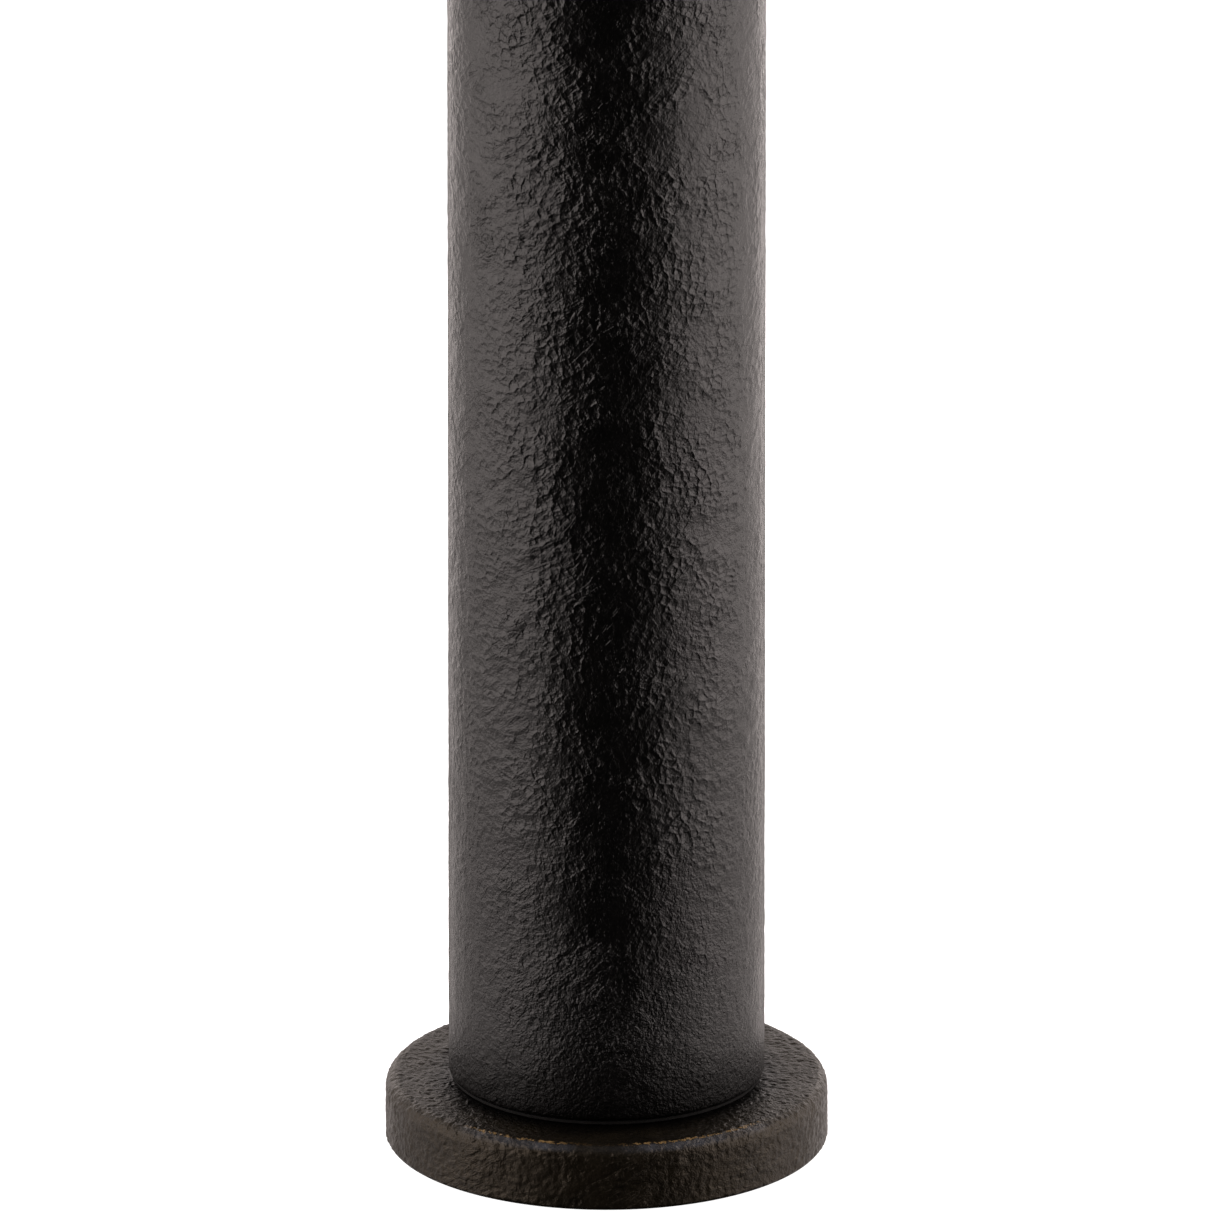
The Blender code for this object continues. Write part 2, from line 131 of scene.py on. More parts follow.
# Seed of the noise that warps the skins, which Blender otherwise takes from the clock
SKIN_SEED = 1

# What both skins share: wavelengths and depths in millimetres
SKIN_DEEPEST = 0.6
WAVE_LENGTH = 28
WAVE_DEPTH = 0.03
WARP_LENGTH = 11
WARP_REACH = 3.2
MESH_CELL_LENGTH = 5.0
MESH_CELL_DEPTH = 0.2
SCARP_LENGTH = 6.5
SCARP_STRETCH = 1.4  # along the slanting direction
SCARP_TURN = 1 / 57  # turn of the slant with height, in radians for each millimetre
SCARP_STEPS = 3.0
SCARP_EDGE = 0.35  # share of each step that its edge takes up
SCARP_DEPTH = 0.06

# Smooth parts of the skins
BASE_SKIN_FADE = 1.5 * MM  # width of the strip, under the post's edge, where the base's skin ends
FOOT_LAND = 0.5 * MM  # strip above the foot of the base
PAD_MARGIN = 1 * MM  # strip round the pad
CAP_LAND = 1 * MM  # strip at the cap's lower edge

# Finer cast texture, which is bump: depth of each layer in millimetres
POST_LAYERS = {"cells": 0.36, "seams": 0.15, "pebbles": 0.36, "grain": 0.13, "ledges": 0.48}
BASE_LAYERS = {"cells": 0.24, "seams": 0.16, "pebbles": 0.14, "grain": 0.11, "ledges": 0.55}

# Change of the layers with height: two heights, and the shares there of all layers, of the cells and
# seams, and of the pebbles and grain
COARSER_UPWARDS = (0.05, 0.36, 0.85, 1.0)
CELLS_UPWARDS = (0.03, 0.16, 0.25, 1.0)
GRAIN_UPWARDS = (0.03, 0.16, 2.4, 1.0)

# Noises: wavelength in millimetres, detail, and for some roughness and distortion
CLUSTER_NOISE = (14, 2)
UNEVEN_NOISE = (14, 3)
SPARSE_NOISE = (21, 2)
PEBBLE_NOISE = (1.6, 2, 0.5, 0.6)
GRAIN_NOISE = (0.7, 2)
LEDGE_NOISE = (6.7, 3, 0.5, 0.6)
PATCH_NOISE = (38, 2)
TONE_NOISE = (11, 4)
GLOSS_NOISE = (4.2, 3)
WEAR_NOISE = (1.3, 3, 0.6)
SCUFF_NOISE = (6.2, 4)
ZINC_SHADES = (5.5, 4)
ZINC_GRAIN = (1.1, 2)
STAINLESS_SHADES = (1.4, 3)
DUST_SHADES = (8.3, 4)
RUBBER_GRAIN = (0.67, 2)

# Ranges of noise, and the range that each is mapped to
CLUSTER_RANGE = (0.40, 0.58, 0, 1)
UNEVEN_RANGE = (0.36, 0.64, 0.3, 1.5)
SPARSE_RANGE = (0.5, 0.62, 0, 1)
PATCH_RANGE = (0.35, 0.65, 0.75, 1.35)
WEAR_RANGE = (0.79, 0.85, 0, 1)
SCUFF_RANGE = (0.35, 0.65, 0.2, 0.9)
POST_ROUGHNESS = (0.3, 0.7, 0.20, 0.28)
BASE_ROUGHNESS = (0.3, 0.7, 0.29, 0.40)
ZINC_ROUGHNESS = (0.3, 0.7, 0.28, 0.46)
STAINLESS_ROUGHNESS = (0.3, 0.7, 0.18, 0.34)
RUBBER_ROUGHNESS = (0.3, 0.7, 0.75, 0.92)

# Shapes of the cast layers
CURL_LENGTH = 5.5  # in millimetres
CELL_LENGTH = 3.5  # in millimetres
CELL_SMOOTHNESS = 0.25
SEAM_WIDTH = 0.22  # as a share of a cell
LEDGE_STEPS = [(0.36, 0), (0.40, 0.33), (0.48, 0.33), (0.52, 0.66), (0.60, 0.66), (0.64, 1)]

# Colours: levels of noise and the tone at each
POST_TONES = [(0.3, (0.001, 0.0009, 0.0008)), (0.7, (0.003, 0.0026, 0.0024))]
POST_TINT = (1, 1, 1)
BASE_TONES = [(0.3, (0.004, 0.0032, 0.002)), (0.7, (0.014, 0.0108, 0.0065))]
BASE_TINT = (0.7, 0.6, 0.47)
ZINC_TONES = [(0.35, (0.42, 0.43, 0.44)), (0.65, (0.62, 0.62, 0.60))]
STAINLESS_TONES = [(0.3, (0.48, 0.47, 0.45)), (0.7, (0.64, 0.62, 0.59))]
RUBBER_TONES = [(0.35, (0.005, 0.005, 0.005)), (0.75, (0.012, 0.0115, 0.011))]
RUBBER_SPECULAR = 0.25

# Depth of the plain finishes' grain
ZINC_GRAIN_DEPTH = 0.02 * MM
STAINLESS_GRAIN_DEPTH = 0.01 * MM
RUBBER_GRAIN_DEPTH = 0.04 * MM

# Painted shade in the corner between the post and the base: a darker colour and less shine, with more
# roughness on the post
PAINTED_SHADE_HEIGHT = 30 * MM
PAINTED_SHADE_WIDTH = 10 * MM
PAINTED_SHADE_ROUGHNESS = 0.25
PAINTED_SHADE_SHINE = 0.06
PAINTED_SHADE_COLOUR = (0.0015, 0.0012, 0.001)

# Worn rim of the base with a painted highlight: levels along the front, over a reach to each side, and
# round the fillet. The levels along the front are painted light: high in two stretches where the rim
# catches light, low at the shaded middle.
RIM_FILLET = 5 * MM
WEAR_REACH = math.pi / 3
WEAR_AND_HIGHLIGHT_STRETCHES = [
    (0.13, 0), (0.2, 1), (0.37, 1), (0.44, 0.15), (0.53, 0.15), (0.58, 1), (0.86, 1), (0.92, 0),
]
WEAR_EDGE = [(0.54, 0), (0.62, 1), (0.66, 1), (0.73, 0)]
WEAR_SHARE = 0.3  # what the edge adds to the noise that breaks up the bare iron
# Band of the fillet where the paint is worn smooth and a highlight is painted
RUBBED_AND_HIGHLIGHT_EDGE = [(0.42, 0), (0.49, 1), (0.58, 1), (0.63, 0)]
BARE_COLOUR = (0.28, 0.18, 0.075)
# Painted highlight on the fillet, pale bluish grey, standing in for its reflection
PAINTED_HIGHLIGHT_COLOUR = (0.085, 0.09, 0.105)
RUBBED_GLOSS = 0.2

# Gaps round small round pieces, as their holes have them
HOLE_GAP = 0.36 * MM
HOLE_OVERRUN = 2 * MM
PAD_HOLE_INSET = 1 * MM  # from the side of a deck bush to the hole in the pad below it

# Rod threads
THREAD_PITCH = 2 * MM
THREAD_DEPTH = 1.1 * MM
THREAD_LENGTH = 45 * MM
THREAD_RUNOUT = 4 * MM
THREAD_STEPS = 8  # rings in each turn of the thread
THREAD_SEGMENTS = 48
ROD_END_CHAMFER = 1 * MM


def shader_nodes(name):
    """A new material, with its tree and its Principled shader."""
    material = bpy.data.materials.new(name)
    material.use_nodes = True
    tree = material.node_tree
    return material, tree, tree.nodes["Principled BSDF"]


def object_point(tree):
    return tree.nodes.new("ShaderNodeTexCoord").outputs["Object"]


def separated(tree, point):
    """The X, Y and Z of a point, by name."""
    node = tree.nodes.new("ShaderNodeSeparateXYZ")
    tree.links.new(point, node.inputs["Vector"])
    return node.outputs


def plug(tree, socket, value):
    """Sets a socket to a number, or links it to an output."""
    if isinstance(value, (int, float)):
        socket.default_value = value
    else:
        tree.links.new(value, socket)


def noise_node(tree, point, length, detail, roughness=0.55, distortion=0.0):
    """Noise from 0 to 1, with a wavelength in millimetres."""
    node = tree.nodes.new("ShaderNodeTexNoise")
    node.inputs["Scale"].default_value = 1 / (length * MM)
    node.inputs["Detail"].default_value = detail
    node.inputs["Roughness"].default_value = roughness
    node.inputs["Distortion"].default_value = distortion
    tree.links.new(point, node.inputs["Vector"])
    return node.outputs["Fac"]


def cell_node(tree, point, length, feature):
    """Distances in a pattern of cells of a size in millimetres."""
    node = tree.nodes.new("ShaderNodeTexVoronoi")
    node.feature = feature
    if feature == "SMOOTH_F1":
        node.inputs["Smoothness"].default_value = CELL_SMOOTHNESS
    node.inputs["Scale"].default_value = 1 / (length * MM)
    tree.links.new(point, node.inputs["Vector"])
    return node.outputs["Distance"]


def ramp(tree, value, stops):
    """Maps a number to a colour through (position, colour) stops."""
    node = tree.nodes.new("ShaderNodeValToRGB")
    elements = node.color_ramp.elements
    while len(elements) < len(stops):
        elements.new(1.0)
    for element, (position, colour) in zip(elements, stops):
        element.position = position
        element.color = (*colour, 1)
    tree.links.new(value, node.inputs["Fac"])
    return node.outputs["Color"]


def grey(level):
    return (level, level, level)


def levels(tree, value, stops):
    """Maps a number to another through (position, level) stops."""
    return ramp(tree, value, [(position, grey(level)) for position, level in stops])


def remap(tree, value, low, high, new_low, new_high):
    node = tree.nodes.new("ShaderNodeMapRange")
    numbers = {"From Min": low, "From Max": high, "To Min": new_low, "To Max": new_high}
    for socket, number in numbers.items():
        node.inputs[socket].default_value = number
    tree.links.new(value, node.inputs["Value"])
    return node.outputs["Result"]


def math_node(tree, operation, a, b=0.0):
    node = tree.nodes.new("ShaderNodeMath")
    node.operation = operation
    plug(tree, node.inputs[0], a)
    plug(tree, node.inputs[1], b)
    return node.outputs["Value"]


def product(tree, first, *others):
    for value in others:
        first = math_node(tree, "MULTIPLY", first, value)
    return first


def mix_colour(tree, share, below, above):
    """Lays a plain colour over a colour output, by a share from 0 to 1."""
    node = tree.nodes.new("ShaderNodeMix")
    node.data_type = "RGBA"
    tree.links.new(share, node.inputs["Factor"])
    tree.links.new(below, node.inputs["A"])
    node.inputs["B"].default_value = (*above, 1)
    return node.outputs["Result"]


def bump(tree, shader, layers, strength=1.0):
    """Layers are (texture, depth) pairs: a texture from 0 to 1 and the metres that it stands for."""
    height = None
    for texture, depth in layers:
        part = product(tree, texture, depth)
        height = math_node(tree, "ADD", height, part) if height else part
    node = tree.nodes.new("ShaderNodeBump")
    node.inputs["Distance"].default_value = 1.0
    tree.links.new(product(tree, height, strength), node.inputs["Height"])
    tree.links.new(node.outputs["Normal"], shader.inputs["Normal"])


def slanted_point(tree, point):
    """The point turned about the axis as it rises, so that upright marks become slanting ones."""
    turn = tree.nodes.new("ShaderNodeVectorRotate")
    turn.rotation_type = "Z_AXIS"
    tree.links.new(point, turn.inputs["Vector"])
    angle = product(tree, separated(tree, point)["Z"], -SCARP_TURN / MM)
    tree.links.new(angle, turn.inputs["Angle"])
    stretch = tree.nodes.new("ShaderNodeMapping")
    stretch.inputs["Scale"].default_value = (1, 1, 1 / SCARP_STRETCH)
    tree.links.new(turn.outputs["Vector"], stretch.inputs["Vector"])
    return stretch.outputs["Vector"]


def warped_point(tree, point):
    """The point pushed about by noise, so that straight patterns curl."""
    noise_texture = tree.nodes.new("ShaderNodeTexNoise")
    noise_texture.inputs["Scale"].default_value = 1 / (CURL_LENGTH * MM)
    tree.links.new(point, noise_texture.inputs["Vector"])
    push = tree.nodes.new("ShaderNodeVectorMath")
    push.operation = "MULTIPLY_ADD"
    tree.links.new(noise_texture.outputs["Color"], push.inputs[0])
    push.inputs[1].default_value = (WARP_REACH * MM,) * 3
    tree.links.new(point, push.inputs[2])
    return push.outputs["Vector"]


def cast_layers(tree, point, ledge_top):
    """The textures that make up the cast skin. Ledges lie below a height."""
    height = separated(tree, point)["Z"]
    coarse = remap(tree, height, *CELLS_UPWARDS)
    fine = remap(tree, height, *GRAIN_UPWARDS)
    curled = warped_point(tree, point)
    uneven = remap(tree, noise_node(tree, point, *UNEVEN_NOISE), *UNEVEN_RANGE)
    cells = cell_node(tree, curled, CELL_LENGTH, "SMOOTH_F1")
    edges = cell_node(tree, curled, CELL_LENGTH, "DISTANCE_TO_EDGE")
    clusters = remap(tree, noise_node(tree, point, *CLUSTER_NOISE), *CLUSTER_RANGE)
    seams = remap(tree, edges, 0, SEAM_WIDTH, 1, 0)
    slanted = noise_node(tree, slanted_point(tree, point), *LEDGE_NOISE)
    sparse = remap(tree, noise_node(tree, point, *SPARSE_NOISE), *SPARSE_RANGE)
    below = remap(tree, height, ledge_top - RIM_FILLET, ledge_top, 1, 0)
    return {
        "cells": product(tree, cells, uneven, coarse),
        "seams": product(tree, seams, clusters, coarse),
        "pebbles": product(tree, noise_node(tree, point, *PEBBLE_NOISE), fine),
        "grain": product(tree, noise_node(tree, point, *GRAIN_NOISE), fine),
        "ledges": product(tree, levels(tree, slanted, LEDGE_STEPS), sparse, below),
    }


def cast_iron(name, tones, roughness, tint, depths, mark, ledge_top):
    """Black, rough-cast iron, with the depth of each layer of its skin.

    Mark adds painted shade, and wear with a painted highlight, to the colour, gloss and shine. Ledges
    lie below ledge_top.
    """
    material, tree, shader = shader_nodes(name)
    point = object_point(tree)
    colour = ramp(tree, noise_node(tree, point, *TONE_NOISE), tones)
    gloss = remap(tree, noise_node(tree, point, *GLOSS_NOISE), *roughness)
    colour, gloss, shine = mark(tree, point, colour, gloss)
    tree.links.new(colour, shader.inputs["Base Color"])
    tree.links.new(gloss, shader.inputs["Roughness"])
    tree.links.new(ramp(tree, shine, [(0, grey(0)), (1, tint)]), shader.inputs["Specular Tint"])
    layers = cast_layers(tree, point, ledge_top)
    patches = remap(tree, noise_node(tree, point, *PATCH_NOISE), *PATCH_RANGE)
    rise = remap(tree, separated(tree, point)["Z"], *COARSER_UPWARDS)
    strength = product(tree, patches, rise)
    bump(tree, shader, [(layers[layer], depth * MM) for layer, depth in depths.items()], strength)
    return material


def painted_shade(tree, painted_shade_share, colour):
    """The colour under a share of painted shade, and the shine that is left."""
    return mix_colour(tree, painted_shade_share, colour, PAINTED_SHADE_COLOUR), remap(tree, painted_shade_share, 0, 1, 1, PAINTED_SHADE_SHINE)


def post_marks(tree, point, colour, gloss):
    """Painted shade in the corner at the foot of the post, fading out upwards."""
    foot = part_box("post_tube")[0].z
    # Painted shade: the post darkens and loses shine towards its foot, where the base shades it.
    painted_shade_share = remap(tree, separated(tree, point)["Z"], foot, foot + PAINTED_SHADE_HEIGHT, 1, 0)
    gloss = math_node(tree, "ADD", gloss, product(tree, painted_shade_share, PAINTED_SHADE_ROUGHNESS))
    colour, shine = painted_shade(tree, painted_shade_share, colour)
    return colour, gloss, shine


def axis_distance(tree, place):
    squares = [product(tree, place[axis], place[axis]) for axis in "XY"]
    return math_node(tree, "SQRT", math_node(tree, "ADD", *squares))


def rim_wear_and_highlight(tree, point, place, radius):
    """Shares of bare iron and, below it, of paint worn smooth under a painted highlight, in two
    stretches of the base's upper edge, which follow where the rim catches light.
    """
    rim, flange_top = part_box("base_flange")[1].x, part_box("post_gasket")[0].z
    outwards = math_node(tree, "SUBTRACT", radius, rim - RIM_FILLET)
    upwards = math_node(tree, "SUBTRACT", place["Z"], flange_top - RIM_FILLET)
    angle = math_node(tree, "ARCTAN2", upwards, outwards)
    turn = remap(tree, angle, -math.pi / 2, math.pi, 0, 1)
    azimuth = math_node(tree, "ARCTAN2", place["X"], product(tree, place["Y"], -1.0))
    along = remap(tree, azimuth, -WEAR_REACH, WEAR_REACH, 0, 1)
    # Painted light: the stretches are strong where the rim catches light and weak at the shaded middle.
    stretches = levels(tree, along, WEAR_AND_HIGHLIGHT_STRETCHES)
    edge = product(tree, levels(tree, turn, WEAR_EDGE), WEAR_SHARE)
    ragged = math_node(tree, "ADD", edge, noise_node(tree, point, *WEAR_NOISE))
    scuffs = remap(tree, noise_node(tree, point, *SCUFF_NOISE), *SCUFF_RANGE)
    bare = product(tree, remap(tree, ragged, *WEAR_RANGE), stretches)
    return bare, product(tree, levels(tree, turn, RUBBED_AND_HIGHLIGHT_EDGE), scuffs, stretches)


def base_marks(tree, point, colour, gloss):
    """Painted shade round the post, and wear along the rim with a painted highlight."""
    post_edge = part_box("post_tube")[1].x
    place = separated(tree, point)
    radius = axis_distance(tree, place)
    # Painted shade: the base's top darkens and loses shine next to the post, which shades it.
    painted_shade_share = remap(tree, radius, post_edge, post_edge + PAINTED_SHADE_WIDTH, 1, 0)
    bare, rubbed_and_highlight = rim_wear_and_highlight(tree, point, place, radius)
    colour, shine = painted_shade(tree, painted_shade_share, colour)
    # Painted highlight on the fillet, where the paint is also worn smoother.
    colour = mix_colour(tree, rubbed_and_highlight, colour, PAINTED_HIGHLIGHT_COLOUR)
    gloss = math_node(tree, "ADD", gloss, product(tree, rubbed_and_highlight, -RUBBED_GLOSS))
    return mix_colour(tree, bare, colour, BARE_COLOUR), gloss, shine


def make_post_iron():
    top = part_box("post_cap")[1].z + RIM_FILLET
    return cast_iron("post_iron", POST_TONES, POST_ROUGHNESS, POST_TINT, POST_LAYERS, post_marks, top)


def make_base_iron():
    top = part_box("post_gasket")[0].z
    return cast_iron("base_iron", BASE_TONES, BASE_ROUGHNESS, BASE_TINT, BASE_LAYERS, base_marks, top)


def plain_finish(name, shades, tones, roughness, grain, grain_depth):
    """A material whose tone and gloss follow one noise, with a fine bump; also its shader."""
    material, tree, shader = shader_nodes(name)
    point = object_point(tree)
    shade = noise_node(tree, point, *shades)
    tree.links.new(ramp(tree, shade, tones), shader.inputs["Base Color"])
    tree.links.new(remap(tree, shade, *roughness), shader.inputs["Roughness"])
    bump(tree, shader, [(noise_node(tree, point, *grain), grain_depth)])
    return material, shader


def make_zinc_steel():
    looks = (ZINC_SHADES, ZINC_TONES, ZINC_ROUGHNESS)
    grain = (ZINC_GRAIN, ZINC_GRAIN_DEPTH)
    material, shader = plain_finish("zinc_plated_steel", *looks, *grain)
    shader.inputs["Metallic"].default_value = 1.0
    return material


def make_stainless_steel():
    looks = (STAINLESS_SHADES, STAINLESS_TONES, STAINLESS_ROUGHNESS)
    grain = (STAINLESS_SHADES, STAINLESS_GRAIN_DEPTH)
    material, shader = plain_finish("stainless_steel", *looks, *grain)
    shader.inputs["Metallic"].default_value = 1.0
    return material


def make_black_rubber():
    looks = (DUST_SHADES, RUBBER_TONES, RUBBER_ROUGHNESS)
    grain = (RUBBER_GRAIN, RUBBER_GRAIN_DEPTH)
    material, shader = plain_finish("black_rubber", *looks, *grain)
    shader.inputs["Specular IOR Level"].default_value = RUBBER_SPECULAR
    return material


def outline_of(node):
    """(r, z) points of a turned solid, anticlockwise, read where a clear half plane cuts it."""
    turn = Matrix.Rotation(-math.radians(CLEAR_PLANE_DEG), 3, "Z")
    mesh = frame["nodes"][node].data
    keys = {}
    for vertex in mesh.vertices:
        place = turn @ vertex.co
        if abs(place.y) < PLANE_TOLERANCE and place.x > -PLANE_TOLERANCE:
            keys[vertex.index] = (round(max(place.x, 0.0), KEY_DIGITS), round(place.z, KEY_DIGITS))
    links = {}
    for edge in mesh.edges:
        a, b = (keys.get(i) for i in edge.vertices)
        if a and b and a != b and (a[0] or b[0]):
            links.setdefault(a, set()).add(b)
            links.setdefault(b, set()).add(a)
    ends = [key for key in links if len(links[key]) == 1]
    path = [min(ends) if ends else min(links)]
    while True:
        following = [key for key in sorted(links[path[-1]]) if key not in path]
        if not following:
            break
        path.append(following[0])
    if ends and path[0][0]:
        path.insert(0, (0.0, path[0][1]))
    if ends and path[-1][0]:
        path.append((0.0, path[-1][1]))
    area = sum(a[0] * b[1] - b[0] * a[1] for a, b in zip(path, path[1:] + path[:1]))
    return path if area > 0 else path[::-1]


def between(a, b, share):
    return a[0] + (b[0] - a[0]) * share, a[1] + (b[1] - a[1]) * share


def refined(outline, step, roughness):
    """Adds points along the stretches of an outline that have a rough end."""
    points = []
    for a, b in zip(outline, outline[1:] + outline[:1]):
        points.append(a)
        if roughness(a) or roughness(b):
            count = math.ceil(math.dist(a, b) / step)
            points += [between(a, b, i / count) for i in range(1, count)]
    return points


def eased(outline, radius):
    """Rounds the sharp corners of an outline."""
    points = []
    for i, corner in enumerate(outline):
        before, after = outline[i - 1], outline[(i + 1) % len(outline)]
        way_in = Vector(corner) - Vector(before)
        way_out = Vector(after) - Vector(corner)
        if not corner[0] or way_in.angle(way_out) < math.radians(STRAIGHT_DEG):
            points.append(corner)
            continue
        start = between(corner, before, min(EASE_LIMIT, radius / way_in.length))
        end = between(corner, after, min(EASE_LIMIT, radius / way_out.length))
        middle = between(between(start, end, 0.5), corner, 0.5)
        points += [start, middle, end]
    return points


def turned_mesh(name, outline, segments, depth=None):
    """A closed mesh turned from an anticlockwise outline, each point sunk by depth(place, r, z)."""
    turns = [2 * math.pi * j / segments for j in range(segments)]
    vertices, rings = [], []
    for i, (r, z) in enumerate(outline):
        before, after = outline[i - 1], outline[(i + 1) % len(outline)]
        normal = Vector((after[1] - before[1], 0, before[0] - after[0])).normalized()
        if not r:
            normal = Vector((0, 0, math.copysign(1, normal.z)))
        rings.append([])
        for a in turns if r else turns[:1]:
            place = Vector((r * math.cos(a), r * math.sin(a), z))
            sunk = depth(place, r, z) if depth else 0.0
            if sunk:
                place -= Vector((normal.x * math.cos(a), normal.x * math.sin(a), normal.z)) * sunk
            rings[-1].append(len(vertices))
            vertices.append(place)
    faces = []
    for low, high in zip(rings, rings[1:] + rings[:1]):
        if len(low) == len(high) == 1:
            continue
        for j in range(segments):
            k = (j + 1) % segments
            lower = [low[j % len(low)], low[k % len(low)]]
            upper = [high[k % len(high)], high[j % len(high)]]
            faces.append(list(dict.fromkeys(lower + upper)))
    mesh = bpy.data.meshes.new(name)
    mesh.from_pydata(vertices, [], faces)
    return mesh


def fade(value, start, end):
    """Rises from 0 to 1 between start and end."""
    return min(1.0, max(0.0, (value - start) / (end - start)))


def terraced(value):
    """Turns a smooth value into flats with steep edges between them."""
    flat, rest = divmod(value * SCARP_STEPS, 1.0)
    return (flat + fade(rest, 0.5 - SCARP_EDGE / 2, 0.5 + SCARP_EDGE / 2)) / SCARP_STEPS


def cast_depth(place, mean, pebble_length, pebble_depth):
    """Depth of the cast skin below its highest points, in metres.

    It is made up of waves, pebbles, slanting scarps and cells.
    """
    p = place / MM
    q = p + noise.noise_vector(p / WARP_LENGTH) * WARP_REACH
    slanted = Matrix.Rotation(-q.z * SCARP_TURN, 3, "Z") @ q
    slanted.z /= SCARP_STRETCH
    height = WAVE_DEPTH * noise.noise(p / WAVE_LENGTH)
    height += pebble_depth * noise.noise(q / pebble_length)
    height += SCARP_DEPTH * terraced(noise.noise(slanted / SCARP_LENGTH))
    height += MESH_CELL_DEPTH * noise.voronoi(q / MESH_CELL_LENGTH)[0][0] ** 2
    return min(SKIN_DEEPEST, max(0.0, mean - height)) * MM


def add_piece(name, mesh, node, material):
    """Makes a mesh into a piece that stands for a node, on that node's body and with its slot."""
    record = frame["record"]
    mesh.shade_smooth()
    mesh.set_sharp_from_angle(angle=math.radians(SHARP_DEG))
    mesh.materials.clear()
    mesh.materials.append(material)
    piece = bpy.data.objects.new(name, mesh)
    bpy.context.scene.collection.objects.link(piece)
    bodies = record["behaviour"]["bodies"]
    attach(piece, next(body for body in bodies if node in bodies[body]))
    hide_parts(node)


def drilled(mesh, holes):
    """A copy of a mesh with round holes, each from a foot to a tip at a radius."""
    drill_shape = bmesh.new()
    for foot, tip, radius in holes:
        way = tip - foot
        turn = way.to_track_quat("Z", "Y").to_matrix().to_4x4()
        bmesh.ops.create_cone(
            drill_shape,
            cap_ends=True,
            segments=HOLE_SEGMENTS,
            radius1=radius,
            radius2=radius,
            depth=way.length,
            matrix=Matrix.Translation((foot + tip) / 2) @ turn,
        )
    drill_mesh = bpy.data.meshes.new("drill")
    drill_shape.to_mesh(drill_mesh)
    drill_shape.free()
    work, drill = bpy.data.objects.new("work", mesh), bpy.data.objects.new("drill", drill_mesh)
    for obj in (work, drill):
        bpy.context.scene.collection.objects.link(obj)
    boolean = work.modifiers.new("drill", "BOOLEAN")
    boolean.object = drill
    bpy.context.view_layer.update()
    evaluated = work.evaluated_get(bpy.context.evaluated_depsgraph_get())
    finished = bpy.data.meshes.new_from_object(evaluated)
    for obj in (work, drill):
        bpy.data.objects.remove(obj)
    return finished


def upright_hole(node, foot, top):
    """A hole round a small upright piece, between two heights."""
    low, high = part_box(node)
    x, y = (low.x + high.x) / 2, (low.y + high.y) / 2
    return Vector((x, y, foot)), Vector((x, y, top)), (high.x - low.x) / 2 + HOLE_GAP


def radial_hole(node, inner, outer):
    """A hole round a small piece that lies along a radius."""
    low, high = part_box(node)
    middle = (low + high) / 2
    way = Vector((middle.x, middle.y, 0)).normalized()
    height = Vector((0, 0, middle.z))
    return height + way * inner, height + way * outer, (high.z - low.z) / 2 + HOLE_GAP


def nodes_named(start):
    return sorted(node for node in frame["nodes"] if node.startswith(start))


def rough_mesh(name, node, segments, step, skin, roughness):
    """A finely turned copy of a solid, with a cast skin.

    Skin is its mean depth and the length and depth of its pebbles. Roughness gives the share of the
    full depth at an outline's point.
    """

    def depth(place, r, z):
        share = roughness((r, z))
        return share * cast_depth(place, *skin) if share else 0.0

    return turned_mesh(name, refined(outline_of(node), step, roughness), segments, depth)


def make_post_skin(iron):
    low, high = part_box("post_tube")
    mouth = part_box("clamp_plate")[1].x

    def roughness(point):
        return 1.0 if point[0] > (mouth + high.x) / 2 else 0.0

    mesh = rough_mesh("post_skin", "post_tube", SKIN_SEGMENTS, SKIN_STEP, POST_SKIN, roughness)
    holes = []
    for node in nodes_named("cap_screw"):
        holes.append(radial_hole(node, mouth - HOLE_OVERRUN, high.x + HOLE_OVERRUN))
    for node in nodes_named("dowel_pin"):
        holes.append(upright_hole(node, low.z - HOLE_OVERRUN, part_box(node)[1].z + HOLE_GAP))
    add_piece("post_skin", drilled(mesh, holes), "post_tube", iron)


def make_base_skin(iron):
    base_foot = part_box("base_flange")[0].z
    flange_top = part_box("post_gasket")[0].z
    post_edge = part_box("post_tube")[1].x
    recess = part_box("base_pad")[1].x + PAD_MARGIN

    def roughness(point):
        """The side and the upper face are rough; what the post and the pad cover isn't."""
        r, z = point
        inside = r < recess and z < flange_top - RIM_FILLET
        if inside or z > flange_top or z < base_foot + FOOT_LAND:
            return 0.0
        return fade(r, post_edge - BASE_SKIN_FADE, post_edge)

    mesh = rough_mesh("base_skin", "base_flange", BASE_SEGMENTS, BASE_STEP, BASE_SKIN, roughness)
    holes = []
    for node in nodes_named("deck_bush"):
        foot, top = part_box(node)
        holes.append(upright_hole(node, foot.z - HOLE_OVERRUN, top.z + HOLE_GAP))
    for node in nodes_named("dowel_pin"):
        holes.append(upright_hole(node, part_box(node)[0].z - HOLE_GAP, flange_top + HOLE_OVERRUN))
    add_piece("base_skin", drilled(mesh, holes), "base_flange", iron)


def make_cap_skin(iron):
    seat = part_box("post_tube")[1].z

    def roughness(point):
        return 1.0 if point[1] > seat + CAP_LAND else 0.0

    mesh = rough_mesh("cap_skin", "post_cap", SKIN_SEGMENTS, SKIN_STEP, POST_SKIN, roughness)
    add_piece("cap_skin", mesh, "post_cap", iron)


def make_fitting(node, steel):
    """A finer copy of a round fitting, with eased edges."""
    mesh = turned_mesh(node, eased(outline_of(node), FITTING_EASE), FITTING_SEGMENTS)
    add_piece(f"{node}_fine", mesh, node, steel)


